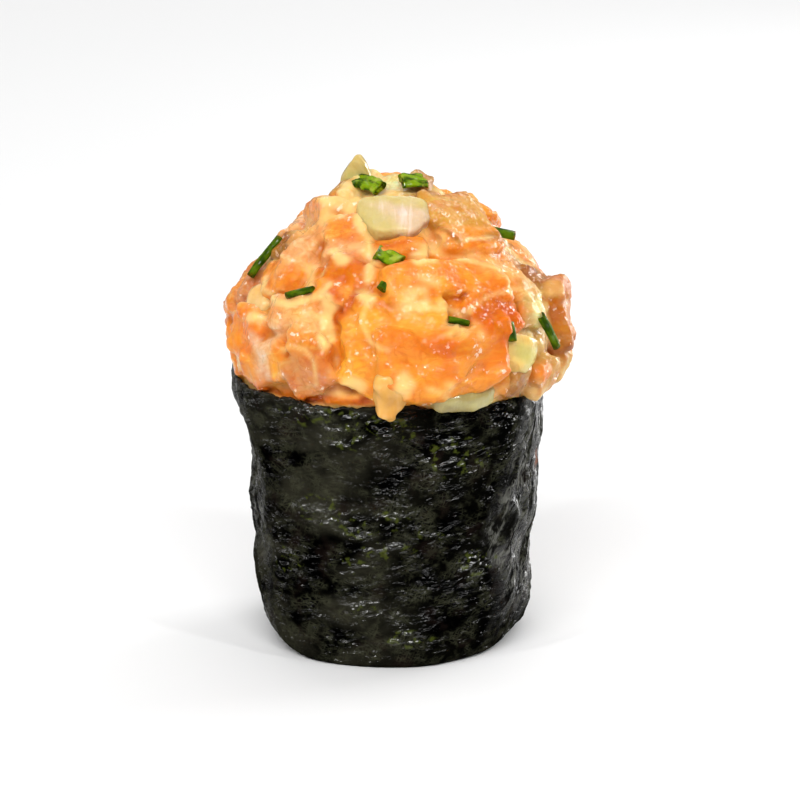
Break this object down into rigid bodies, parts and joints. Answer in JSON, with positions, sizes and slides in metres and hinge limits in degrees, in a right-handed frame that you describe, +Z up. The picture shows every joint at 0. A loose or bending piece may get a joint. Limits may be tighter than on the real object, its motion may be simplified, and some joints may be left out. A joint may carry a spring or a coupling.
{
  "type": "gunkan sushi",
  "caption": "Upright band of nori round pressed rice, heaped with chopped salmon in creamy sauce, with onion pieces and cut chives.",
  "frame": {"origin": "on the surface it stands on, below the middle of the whole's reach", "axes": "+Z up, -Y towards the front, +X to the right seen from the front"},
  "size_m": [0.0429, 0.0448, 0.0602],
  "materials": {
    "nori": "crinkled, half gloss where moist",
    "rice": "moist, slightly translucent grains",
    "salmon": "wet, translucent, coated in creamy sauce",
    "onion": "wet, translucent",
    "chive": "fresh, moist"
  },
  "bodies": {
    "root": {"nori_band": "nori", "rice_block": "rice", "salmon_heap": "salmon", "onion_petal": "onion", "onion_peak": "onion", "onion_left": "onion", "onion_right": "onion", "onion_rim": "onion", "onion_drip": "onion"}
  },
  "joints": []
}
